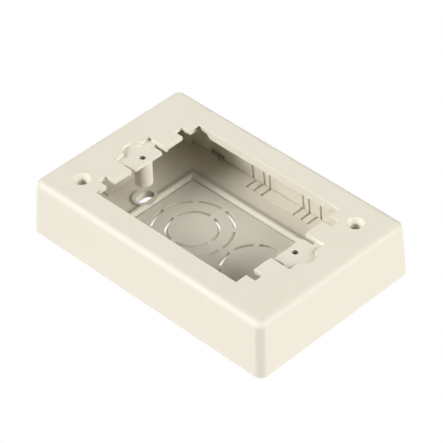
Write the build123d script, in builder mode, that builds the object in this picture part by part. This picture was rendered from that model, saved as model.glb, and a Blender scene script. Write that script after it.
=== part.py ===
"""Extension outlet box: a moulded cover with a castellated opening, and its base plate.

Millimetres. The origin is the centre of the underside, +X runs along the box and
+Z points away from the wall that the box is fixed to.
"""

import os
from math import atan, cos, degrees, radians, sin, tan

from build123d import *

# Overall size of the box
box_length = 127.0
box_width = 83.8
box_height = 25.4

# Cover shell
draft_angle = 3.5
corner_radius = 3.4
top_edge_radius = 3.0
wall = 2.4
inner_corner_radius = 1.2
flange = 2.0

# Opening in the top face, with a square slot at each corner of its ends
opening_length = 76.2
opening_width = 57.2
corner_slot_depth = 4.8
corner_slot_width = 4.1
corner_tab_width = 5.5
slot_corner_radius = 0.4

# Lip that hangs along the long edges of the opening
lip_thickness = 2.0
lip_drop = 2.1
lip_length = 68.0
lip_end_slope = 1.4

# Device pads: recessed, hanging below the flange, with a slot along each side
device_spacing = 83.34
device_hole_diameter = 2.6
device_boss_diameter = 7.45
pad_width = 15.6
pad_slot_width = 1.85
pad_slot_end = 2.0
pad_recess = 1.45
pad_thickness = 1.2
pad_corner_radius = 0.9
recess_end = 6.1
recess_bulge_radius = 4.9
recess_bulge_offset = 4.5
recess_corner_radius = 1.0
pad_border = 1.0

# Bosses in two opposite corners, each for a countersunk cover screw
corner_boss_spacing_x = 96.6
corner_boss_spacing_y = 53.6
corner_boss_diameter = 8.4
cover_hole_diameter = 4.0
countersink_diameter = 7.3
countersink_angle = 82.0
boss_end_height = 11.1
boss_end_chamfer = 0.3

# Stop ribs on the long walls near each corner, which the base seats against
stop_rib_x = 55.1
stop_rib_width = 4.0
stop_rib_depth = 2.1

# Breakouts for raceway, scored into the walls and slit through the base
wall_breakout_widths = (18.5, 24.9, 37.6)
wall_breakout_heights = (12.0, 15.5, 18.5)
wall_score_width = 1.0
wall_score_depth = 1.2
base_breakout_widths = (17.6, 26.2, 33.8)
long_breakout_depth = 5.4
end_breakout_depth = 6.2
slit_width = 0.95
fold_groove_width = 0.9
fold_groove_depth = 0.45

# Base plate
base_thickness = 2.35
base_gap = 0.25
base_corner_radius = 1.0

# Raised rib round the middle of the base, with a score line at its foot
rib_length = 78.4
rib_width = 49.4
rib_height = 1.0
rib_crest = 1.2
rib_slope_run = 1.3
rib_corner_radius = 1.0
rib_score_width = 0.7
rib_score_depth = 0.8

# Round knock-outs in the base: the slit round each disc widens towards the inside
large_ring_x = -14.6
large_ring_diameter = 34.1
inner_ring_diameter = 21.6
small_ring_x = 19.85
small_ring_diameter = 27.9
ring_slit_width = 0.75
ring_hole_taper = 10.0
disc_edge_taper = 22.0
outer_bridges = 8
inner_bridges = 4
bridge_width = 2.3
bridge_turn = -4.0

# Fixing slots under the device bosses
fixing_slot_width = 4.9
fixing_slot_length = 8.4
fixing_rim_width = 10.2
fixing_rim_length = 10.9
fixing_rim_height = 1.05

# Screw posts of the base
post_diameter = 7.6
post_hole_diameter = 2.8
post_hole_depth = 9.5

# Catches: a tab and tongue of the base under a notch in each long wall
catch_x = 39.4
catch_tab_width = 5.2
catch_tab_thickness = 1.2
catch_tab_height = 1.3
catch_tab_inset = 1.1
catch_tongue_thickness = 1.4
catch_tongue_gap = 0.2
notch_outer_gap = 0.8
notch_inner_gap = 2.2
notch_height = 4.9
notch_depth = 1.0

# Values worked out from the sizes above
draft = tan(radians(draft_angle))
inner_length = box_length - 2 * wall
inner_width = box_width - 2 * wall
ceiling_height = box_height - flange
pad_top = box_height - pad_recess
pad_bottom = pad_top - pad_thickness
lip_bottom = ceiling_height - lip_drop
device_x = device_spacing / 2
recess_width = pad_width + 2 * pad_slot_width
corner_slot_y = opening_width / 2 - corner_tab_width - corner_slot_width / 2
base_length = inner_length - 2 * base_thickness * draft - 2 * base_gap
base_width = inner_width - 2 * base_thickness * draft - 2 * base_gap
post_height = boss_end_height - base_thickness
rib_inner_length = rib_length - 2 * (rib_crest + rib_slope_run)
rib_inner_width = rib_width - 2 * (rib_crest + rib_slope_run)
rib_slope_angle = degrees(atan(rib_slope_run / rib_height))
notch_width = catch_tab_width + notch_outer_gap + notch_inner_gap
notch_x = catch_x + (notch_outer_gap - notch_inner_gap) / 2
screw_places = (
    (-corner_boss_spacing_x / 2, -corner_boss_spacing_y / 2),
    (corner_boss_spacing_x / 2, corner_boss_spacing_y / 2),
)


def wall_face(turn, distance):
    """Plane on the inner face of a drafted wall, its y axis running up the wall."""
    lean = radians(draft_angle)
    bearing = radians(turn)
    across = (sin(bearing), -cos(bearing))
    inward = (across[0] * cos(lean), across[1] * cos(lean), -sin(lean))
    foot = (-across[0] * distance, -across[1] * distance, 0)
    return Plane(origin=foot, x_dir=(cos(bearing), sin(bearing), 0), z_dir=inward)


wall_faces = (
    wall_face(0, inner_width / 2),
    wall_face(180, inner_width / 2),
    wall_face(90, inner_length / 2),
    wall_face(-90, inner_length / 2),
)

# Cover: one moulding, open at the back
with BuildPart() as cover:
    # Drafted outer form with a soft top edge
    with BuildSketch():
        Rectangle(box_length, box_width)
    extrude(amount=box_height, taper=draft_angle)
    side_edges = cover.edges().filter_by(lambda edge: edge.bounding_box().size.Z > box_height / 2)
    fillet(side_edges, corner_radius)
    fillet(cover.faces().sort_by(Axis.Z)[-1].edges(), top_edge_radius)

    # Hollow inside
    with BuildSketch():
        RectangleRounded(inner_length, inner_width, inner_corner_radius)
    extrude(amount=ceiling_height, taper=draft_angle, mode=Mode.SUBTRACT)

    # Pads that carry the device screws, and the lip along each long edge
    with BuildSketch(Plane.XY.offset(pad_bottom)):
        with Locations((device_x, 0), (-device_x, 0)):
            Rectangle(2 * (recess_end + pad_border), recess_width + 2 * pad_border)
        with Locations((device_x + recess_bulge_offset, 0), (-device_x - recess_bulge_offset, 0)):
            Circle(recess_bulge_radius + pad_border)
    extrude(amount=ceiling_height - pad_bottom)
    with BuildSketch(Plane.XZ.offset(-opening_width / 2 - lip_thickness)):
        with BuildLine():
            Polyline(
                (-lip_length / 2, ceiling_height),
                (-lip_length / 2 + lip_end_slope, lip_bottom),
                (lip_length / 2 - lip_end_slope, lip_bottom),
                (lip_length / 2, ceiling_height),
                close=True,
            )
        make_face()
    extrude(amount=opening_width + 2 * lip_thickness)

    # Opening, with its corner slots and the slots beside the pads
    with BuildSketch(Plane.XY.offset(boss_end_height)) as mouth:
        Rectangle(opening_length, opening_width)
        for side in (-1, 1):
            with Locations((0, side * corner_slot_y)):
                Rectangle(opening_length + 2 * corner_slot_depth, corner_slot_width)
            with Locations((0, side * (pad_width + pad_slot_width) / 2)):
                Rectangle(2 * (device_x + pad_slot_end), pad_slot_width)
        slot_corners = [corner for corner in mouth.vertices() if abs(corner.X) > device_x]
        fillet(slot_corners, slot_corner_radius)
        pad_corners = [
            corner
            for corner in mouth.vertices()
            if abs(corner.X) < device_x and abs(corner.Y) < (pad_width + pad_slot_width) / 2
        ]
        fillet(pad_corners, pad_corner_radius)
    extrude(amount=box_height, mode=Mode.SUBTRACT)

    # Recess round each device screw
    with BuildSketch(Plane.XY.offset(pad_top)) as recess:
        Rectangle(2 * (device_x + recess_end), recess_width)
        with Locations((device_x + recess_bulge_offset, 0), (-device_x - recess_bulge_offset, 0)):
            Circle(recess_bulge_radius)
        bulge_corners = [
            corner for corner in recess.vertices() if abs(corner.Y) < recess_bulge_radius
        ]
        fillet(bulge_corners, recess_corner_radius)
    extrude(amount=box_height, mode=Mode.SUBTRACT)

    # Bosses that hang inside: one under each device pad and one at each cover screw
    with BuildSketch(Plane.XY.offset(boss_end_height)):
        with Locations((device_x, 0), (-device_x, 0)):
            Circle(device_boss_diameter / 2)
    extrude(amount=pad_bottom - boss_end_height)
    with BuildSketch(Plane.XY.offset(boss_end_height)):
        with Locations(*screw_places):
            Circle(corner_boss_diameter / 2)
    extrude(amount=ceiling_height - boss_end_height)
    boss_ends = cover.faces().filter_by(Plane.XY).filter_by_position(
        Axis.Z, boss_end_height - 0.01, boss_end_height + 0.01
    )
    chamfer(boss_ends.edges(), boss_end_chamfer)

    # Device screw holes, and countersunk holes for the two cover screws
    with Locations((device_x, 0, pad_top), (-device_x, 0, pad_top)):
        Hole(device_hole_diameter / 2)
    with Locations(*[(*place, box_height) for place in screw_places]):
        CounterSinkHole(
            cover_hole_diameter / 2,
            countersink_diameter / 2,
            counter_sink_angle=countersink_angle,
        )

    # Stop ribs that stand over the corners of the base
    with BuildSketch(Plane.XY.offset(base_thickness)):
        for side in (-1, 1):
            rib_y = side * (inner_width - stop_rib_depth) / 2
            with Locations((stop_rib_x, rib_y), (-stop_rib_x, rib_y)):
                Rectangle(stop_rib_width, stop_rib_depth)
    extrude(amount=ceiling_height - base_thickness)

    # Nested score lines of the raceway breakouts, inside all four walls
    for face in wall_faces:
        with BuildSketch(face):
            for width, height in zip(wall_breakout_widths[::-1], wall_breakout_heights[::-1]):
                Rectangle(
                    width + wall_score_width,
                    height + wall_score_width / 2,
                    align=(Align.CENTER, Align.MIN),
                )
                Rectangle(
                    width - wall_score_width,
                    height - wall_score_width / 2,
                    align=(Align.CENTER, Align.MIN),
                    mode=Mode.SUBTRACT,
                )
        extrude(amount=-wall_score_depth, mode=Mode.SUBTRACT)

    # Catch notches at the foot of the long walls
    for face in wall_faces[:2]:
        with BuildSketch(face):
            with Locations((notch_x, 0), (-notch_x, 0)):
                Rectangle(notch_width, notch_height, align=(Align.CENTER, Align.MIN))
        extrude(amount=-notch_depth, mode=Mode.SUBTRACT)


def ring_slit(ring_x, diameter, bridges):
    """Slit round one knock-out, cut short at the bridges that hold the disc."""
    with BuildPart() as slit:
        with BuildSketch():
            Circle(diameter / 2 + ring_slit_width)
        extrude(amount=base_thickness, taper=ring_hole_taper)
        with BuildSketch():
            Circle(diameter / 2)
        extrude(amount=base_thickness, taper=disc_edge_taper, mode=Mode.SUBTRACT)
        with BuildSketch():
            with PolarLocations(diameter / 2, bridges, start_angle=bridge_turn):
                Rectangle(8 * ring_slit_width, bridge_width)
        extrude(amount=base_thickness, mode=Mode.SUBTRACT)
    return slit.part.moved(Location((ring_x, 0, 0)))


knock_out_slits = (
    ring_slit(large_ring_x, large_ring_diameter, outer_bridges),
    ring_slit(large_ring_x, inner_ring_diameter, inner_bridges),
    ring_slit(small_ring_x, small_ring_diameter, outer_bridges),
)

# Base: one moulding that closes the back of the cover
with BuildPart() as base:
    with BuildSketch():
        RectangleRounded(base_length, base_width, base_corner_radius)
    extrude(amount=base_thickness)

    # Raised rib round the middle, with its inner side sloped
    with BuildSketch(Plane.XY.offset(base_thickness)):
        RectangleRounded(rib_length, rib_width, rib_corner_radius)
    extrude(amount=rib_height)
    with BuildSketch(Plane.XY.offset(base_thickness)):
        Rectangle(rib_inner_length, rib_inner_width)
    extrude(amount=rib_height, taper=-rib_slope_angle, mode=Mode.SUBTRACT)
    with BuildSketch(Plane.XY.offset(base_thickness)):
        Rectangle(rib_inner_length, rib_inner_width)
        Rectangle(
            rib_inner_length - 2 * rib_score_width,
            rib_inner_width - 2 * rib_score_width,
            mode=Mode.SUBTRACT,
        )
    extrude(amount=-rib_score_depth, mode=Mode.SUBTRACT)

    # Fixing slots, each through a raised oval rim
    with BuildSketch(Plane.XY.offset(base_thickness)):
        with Locations((device_x, 0), (-device_x, 0)):
            Ellipse(fixing_rim_width / 2, fixing_rim_length / 2)
    extrude(amount=fixing_rim_height)
    with BuildSketch():
        with Locations((device_x, 0), (-device_x, 0)):
            SlotOverall(fixing_slot_length, fixing_slot_width, rotation=90)
    extrude(amount=base_thickness + fixing_rim_height, mode=Mode.SUBTRACT)

    # Screw posts that meet the cover's drilled bosses
    with BuildSketch(Plane.XY.offset(base_thickness)):
        with Locations(*screw_places):
            Circle(post_diameter / 2)
    extrude(amount=post_height)
    with Locations(*[(*place, boss_end_height) for place in screw_places]):
        Hole(post_hole_diameter / 2, depth=post_hole_depth)

    # Round knock-outs
    for slit in knock_out_slits:
        add(slit, mode=Mode.SUBTRACT)

    # Breakout slits from each edge inwards, and the fold groove at their inner ends
    for turn, edge_distance, depth in (
        (0, base_width / 2, long_breakout_depth),
        (180, base_width / 2, long_breakout_depth),
        (90, base_length / 2, end_breakout_depth),
        (-90, base_length / 2, end_breakout_depth),
    ):
        with BuildSketch(Plane.XY.rotated((0, 0, turn))):
            for width in base_breakout_widths:
                with Locations((-width / 2, edge_distance), (width / 2, edge_distance)):
                    Rectangle(slit_width, depth, align=(Align.CENTER, Align.MAX))
        extrude(amount=base_thickness, mode=Mode.SUBTRACT)
        groove_length = base_breakout_widths[-1] + slit_width
        with BuildSketch(Plane.YZ.rotated((0, 0, turn)).offset(-groove_length / 2)):
            with BuildLine():
                Polyline(
                    (edge_distance - depth - fold_groove_width / 2, base_thickness),
                    (edge_distance - depth, base_thickness - fold_groove_depth),
                    (edge_distance - depth + fold_groove_width / 2, base_thickness),
                    close=True,
                )
            make_face()
        extrude(amount=groove_length, mode=Mode.SUBTRACT)

    # Catches along the long edges: a low tab, and a tongue that enters the notch
    for side in (-1, 1):
        tab_y = side * (base_width / 2 - catch_tab_inset - catch_tab_thickness / 2)
        tongue_reach = notch_depth + base_gap - catch_tongue_gap
        tongue_y = side * (base_width / 2 + tongue_reach / 2)
        with BuildSketch(Plane.XY.offset(base_thickness)):
            with Locations((catch_x, tab_y), (-catch_x, tab_y)):
                Rectangle(catch_tab_width, catch_tab_thickness)
        extrude(amount=catch_tab_height)
        with BuildSketch(Plane.XY.offset(base_thickness)):
            with Locations((catch_x, tongue_y), (-catch_x, tongue_y)):
                Rectangle(catch_tab_width, tongue_reach)
        extrude(amount=-catch_tongue_thickness)

cover.part.label = "cover"
base.part.label = "base"

os.makedirs("parts", exist_ok=True)
export_step(cover.part, "parts/cover.step")
export_step(base.part, "parts/base.step")
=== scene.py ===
"""Extension outlet box in ivory plastic, seen from above its near corner."""

from math import cos, radians, sin

import bmesh
import bpy
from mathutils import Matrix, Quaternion, Vector


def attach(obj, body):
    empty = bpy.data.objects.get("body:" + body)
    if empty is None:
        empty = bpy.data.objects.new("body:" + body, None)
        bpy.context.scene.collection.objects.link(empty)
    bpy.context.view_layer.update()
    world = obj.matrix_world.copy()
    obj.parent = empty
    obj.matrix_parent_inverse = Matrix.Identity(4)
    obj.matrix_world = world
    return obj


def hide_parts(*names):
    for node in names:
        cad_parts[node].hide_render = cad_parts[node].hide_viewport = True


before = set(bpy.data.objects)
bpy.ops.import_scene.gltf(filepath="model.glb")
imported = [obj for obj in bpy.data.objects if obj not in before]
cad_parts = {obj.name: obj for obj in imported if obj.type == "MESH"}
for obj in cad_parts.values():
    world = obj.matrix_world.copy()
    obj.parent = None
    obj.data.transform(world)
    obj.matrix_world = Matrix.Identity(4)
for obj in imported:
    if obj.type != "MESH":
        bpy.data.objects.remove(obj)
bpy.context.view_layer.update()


# Camera: a long lens well back, looking down on the corner between the long near
# side and the short right side, with the slight roll of the photograph.
picture_size = 443
lens_pixels = 2521.6
sensor_width = 36.0
camera_azimuth = 45.689
camera_elevation = 40.788
camera_roll = -1.795
camera_distance = 0.99114
camera_aim = Vector((-0.000608, 0.002622, 0.0127))

view_back = Vector((
    sin(radians(camera_azimuth)) * cos(radians(camera_elevation)),
    -cos(radians(camera_azimuth)) * cos(radians(camera_elevation)),
    sin(radians(camera_elevation)),
))
camera = bpy.data.objects.new("camera", bpy.data.cameras.new("camera"))
bpy.context.scene.collection.objects.link(camera)
camera.data.sensor_width = sensor_width
camera.data.lens = lens_pixels / picture_size * sensor_width
camera.data.clip_start = 0.05
camera.data.clip_end = 20.0
camera.location = camera_aim + view_back * camera_distance
camera.rotation_mode = "QUATERNION"
roll_turn = Quaternion((0, 0, 1), radians(camera_roll))
camera.rotation_quaternion = (-view_back).to_track_quat("-Z", "Y") @ roll_turn
bpy.context.scene.camera = camera


# Cover: the drafted shell with the castellated opening, injection moulded in ivory
# plastic with a fine satin skin. It is screwed to the base at two corners.
class Wire:
    """A value on a shader socket. Python operators on it add Math nodes."""

    def __init__(self, shader, socket):
        self.shader = shader
        self.socket = socket

    def maths(self, operation, first, second):
        made = self.shader.node("ShaderNodeMath", {"operation": operation}, {0: first, 1: second})
        return Wire(self.shader, made.outputs[0])

    def __add__(self, other):
        return self.maths("ADD", self, other)

    def __sub__(self, other):
        return self.maths("SUBTRACT", self, other)

    def __mul__(self, other):
        return self.maths("MULTIPLY", self, other)

    def __rsub__(self, other):
        return self.maths("SUBTRACT", other, self)

    def __lt__(self, other):
        return self.maths("LESS_THAN", self, other)

    def __gt__(self, other):
        return self.maths("GREATER_THAN", self, other)

    def __abs__(self):
        return self.maths("ABSOLUTE", self, 0)

    def highest(self, other):
        return self.maths("MAXIMUM", self, other)

    __radd__ = __add__
    __rmul__ = __mul__


class Shader:
    """The node tree of one material, with one method that adds any node."""

    def __init__(self, name):
        self.material = bpy.data.materials.new(name)
        self.material.use_nodes = True
        self.tree = self.material.node_tree
        self.tree.nodes.clear()

    def node(self, kind, settings=None, sockets=None):
        made = self.tree.nodes.new(kind)
        for name, value in (settings or {}).items():
            setattr(made, name, value)
        for name, value in (sockets or {}).items():
            if isinstance(value, Wire):
                value = value.socket
            if isinstance(value, bpy.types.NodeSocket):
                self.tree.links.new(value, made.inputs[name])
            else:
                made.inputs[name].default_value = value
        return made

    def wire(self, kind, settings=None, sockets=None, output=0):
        return Wire(self, self.node(kind, settings, sockets).outputs[output])

    def mixed(self, factor, first, second):
        """Colour that goes from first to second as factor goes from 0 to 1."""
        sockets = {"Factor": factor, "A": first, "B": second}
        return self.wire("ShaderNodeMix", {"data_type": "RGBA"}, sockets, output=2)

    def noise(self, place, scale, detail):
        sockets = {"Vector": place, "Scale": scale, "Detail": detail}
        return self.wire("ShaderNodeTexNoise", {}, sockets)


def ivory_plastic(name, shade):
    """Satin ivory plastic. shade gives how far painted shade darkens a place, from 0 to 1."""
    ivory = (0.800, 0.762, 0.672, 1)
    pale_ivory = (0.815, 0.778, 0.688, 1)
    shaded = (0.22, 0.19, 0.13, 1)
    cloud_scale = 60.0
    grain_scale = 2600.0
    grain_depth = 0.00004
    grain_strength = 0.12
    roughness = 0.42
    roughness_change = 0.08
    refraction = 1.46

    shader = Shader(name)
    place = shader.wire("ShaderNodeTexCoord", output="Object")
    axes = shader.node("ShaderNodeSeparateXYZ", {}, {"Vector": place})
    x, y, z = (Wire(shader, axes.outputs[axis]) for axis in "XYZ")
    cloud = shader.noise(place, cloud_scale, 2.0)
    clean = shader.mixed(cloud, ivory, pale_ivory)
    # Painted shade: the colour goes towards the dark tone as far as shade says.
    tone = shader.mixed(shade(x, y, z), clean, shaded)
    bump = shader.wire("ShaderNodeBump", {}, {
        "Strength": grain_strength,
        "Distance": grain_depth,
        "Height": shader.noise(place, grain_scale, 3.0),
    })
    skin = shader.node("ShaderNodeBsdfPrincipled", {}, {
        "Base Color": tone,
        "Roughness": roughness + cloud * roughness_change,
        "Normal": bump,
        "IOR": refraction,
    })
    shader.node("ShaderNodeOutputMaterial", {}, {"Surface": skin.outputs[0]})
    return shader.material


def moulded(name, softness, skin):
    """Stand in for a node with a copy whose outer edges are rounded as a mould rounds them.

    softness takes the middle of an edge and gives the rounding there in metres.
    """
    widest_rounding = 0.0006
    welding_distance = 1e-6
    flat_turn = radians(0.5)
    smooth_turn = radians(28)
    corner_turn = radians(50)

    shape = bmesh.new()
    shape.from_mesh(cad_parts[name].data)
    bmesh.ops.remove_doubles(shape, verts=shape.verts, dist=welding_distance)
    bmesh.ops.dissolve_limit(
        shape, angle_limit=flat_turn, verts=shape.verts, edges=shape.edges
    )
    weight = shape.edges.layers.float.new("bevel_weight_edge")
    for edge in shape.edges:
        turn = edge.calc_face_angle(0)
        edge.smooth = turn < smooth_turn
        rounding = softness((edge.verts[0].co + edge.verts[1].co) / 2)
        if edge.is_convex and turn > corner_turn and rounding:
            edge.smooth = True
            edge[weight] = rounding / widest_rounding
    for face in shape.faces:
        face.smooth = True
    raw = bpy.data.meshes.new(name + "_raw")
    shape.to_mesh(raw)
    shape.free()

    maker = bpy.data.objects.new(name + "_maker", raw)
    bpy.context.scene.collection.objects.link(maker)
    bevel = maker.modifiers.new("bevel", "BEVEL")
    bevel.limit_method = "WEIGHT"
    bevel.width = widest_rounding
    bevel.segments = 3
    bevel.use_clamp_overlap = False
    bevel.miter_outer = "MITER_ARC"
    shading = maker.modifiers.new("shading", "WEIGHTED_NORMAL")
    shading.keep_sharp = True
    graph = bpy.context.evaluated_depsgraph_get()
    mesh = bpy.data.meshes.new_from_object(maker.evaluated_get(graph))
    bpy.data.objects.remove(maker)

    mesh.name = name + "_moulding"
    mesh.materials.clear()
    mesh.materials.append(skin)
    piece = bpy.data.objects.new(name + "_moulding", mesh)
    bpy.context.scene.collection.objects.link(piece)
    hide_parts(name)
    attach(piece, "root")


device_screw_x = 0.04167
# Painted shade on the walls of the device screw holes: its reach, top and darkness.
hole_shade_radius = 0.0013 * 1.06
hole_shade_top = 0.0238
hole_shade_darkness = 0.6
flange_rounding = 0.00025
rounded_above = 0.0232


def hole_painted_shade(x, y, z):
    """Painted shade darkens the wall of each device screw hole below its top."""
    across = abs(x) - device_screw_x
    in_hole = across * across + y * y < hole_shade_radius ** 2
    return in_hole * (z < hole_shade_top) * hole_shade_darkness


def cover_rounding(middle):
    """Only the top and the upper part of the flange are rounded."""
    return flange_rounding if middle.z > rounded_above else 0


moulded("cover", cover_rounding, ivory_plastic("ivory_plastic_cover", hole_painted_shade))


# Base: the flat plate that closes the back, with its rib, knock-outs and fixing slots.
# It is moulded in the same ivory plastic and clips between the walls of the cover.
plate_thickness = 0.00235
hair = 0.00002
rib_half_length = 0.0392
rib_half_width = 0.0247
rib_shade_reach = 0.0030
rib_darkness = 0.6
fold_line_x = 0.0545
fold_line_half_length = 0.0174
fold_slope = 0.00045
fold_darkness = 0.7
fixing_slot_x = 0.04167
fixing_slot_radius = 0.00245
fixing_slot_straight = 0.00175
slot_darkness = 0.75
plate_rounding = 0.0001


def base_shade(x, y, z):
    """Painted shade: the outer foot of the rib, the inner slope of the end fold lines and the far
    walls of the slots.
    """
    on_plate = z < plate_thickness + 10 * hair

    # Painted shadow on the plate outside the rib, fading away from it.
    from_rib = (abs(x) - rib_half_length).highest(abs(y) - rib_half_width)
    rib_fade = (1 - from_rib * (1 / rib_shade_reach)).highest(0)
    rib_foot = rib_fade * (from_rib > hair) * on_plate * rib_darkness

    # Painted shade on the inner slope of each end fold line.
    from_fold = abs(abs(x) - (fold_line_x - fold_slope / 2))
    beside_fold = (from_fold < fold_slope / 2) * (abs(y) < fold_line_half_length)
    fold = beside_fold * on_plate * fold_darkness

    # Painted shade on each fixing slot's wall, darker towards its +Y end.
    across = abs(x) - fixing_slot_x
    along = (abs(y) - fixing_slot_straight).highest(0)
    in_slot = across * across + along * along < (fixing_slot_radius + 3 * hair) ** 2
    slot_end = fixing_slot_straight + fixing_slot_radius
    slot_wall = in_slot * y.highest(0) * (slot_darkness / slot_end)

    return rib_foot + fold + slot_wall


moulded("base", lambda middle: plate_rounding, ivory_plastic("ivory_plastic_base", base_shade))


# Floor: a plain white table top, in two layers. The camera sees the upper one, which is
# overexposed as in the photograph. The plastic is lit only by the duller lower one.
floor_reach = 6.0
warm_white = (1, 0.987, 0.952)


def table_top(name, height, colour, strength):
    shader = Shader(name)
    skin = shader.node("ShaderNodeEmission", {}, {"Color": (*colour, 1), "Strength": strength})
    shader.node("ShaderNodeOutputMaterial", {}, {"Surface": skin.outputs[0]})
    mesh = bpy.data.meshes.new(name)
    corners = ((-1, -1), (1, -1), (1, 1), (-1, 1))
    places = [(x * floor_reach, y * floor_reach, height) for x, y in corners]
    mesh.from_pydata(places, [], [(0, 1, 2, 3)])
    mesh.materials.append(shader.material)
    top = bpy.data.objects.new(name, mesh)
    bpy.context.scene.collection.objects.link(top)
    return top


table_top("floor", height=-0.0004, colour=warm_white, strength=0.6)
floor_seen = table_top("floor_seen", height=-0.0002, colour=(1, 1, 1), strength=1.0)
floor_seen.visible_diffuse = False
floor_seen.visible_glossy = False


# Light: broad soft lights from the left and from the right of the picture, some of them
# low, and weak ones behind and overhead. The table lights the sides from below.
light_spread = 24


def soft_light(name, azimuth, elevation, strength):
    data = bpy.data.lights.new(name, "SUN")
    data.angle = radians(light_spread)
    data.energy = strength
    data.color = warm_white
    light = bpy.data.objects.new(name, data)
    source = Vector((
        cos(radians(azimuth)) * cos(radians(elevation)),
        sin(radians(azimuth)) * cos(radians(elevation)),
        sin(radians(elevation)),
    ))
    light.rotation_euler = source.to_track_quat("Z", "Y").to_euler()
    bpy.context.scene.collection.objects.link(light)


soft_light("left_high", azimuth=225, elevation=52, strength=0.44)
soft_light("left_middle", azimuth=225, elevation=32, strength=1.2)
soft_light("left_front_middle", azimuth=247, elevation=32, strength=0.996)
soft_light("left_front_low", azimuth=247, elevation=12, strength=0.9)
soft_light("right_middle", azimuth=45, elevation=32, strength=0.308)
soft_light("right_front_middle", azimuth=22, elevation=32, strength=1.162)
soft_light("right_front_low", azimuth=22, elevation=12, strength=1.225)
soft_light("front_middle", azimuth=0, elevation=32, strength=0.456)
soft_light("behind_low", azimuth=135, elevation=12, strength=0.4)
soft_light("overhead", azimuth=90, elevation=72, strength=0.12)
world = bpy.data.worlds.new("world")
world.use_nodes = True
world.node_tree.nodes["Background"].inputs["Color"].default_value = (1, 1, 1, 1)
world.node_tree.nodes["Background"].inputs["Strength"].default_value = 0.0
bpy.context.scene.world = world
bpy.context.scene.view_settings.view_transform = "Standard"
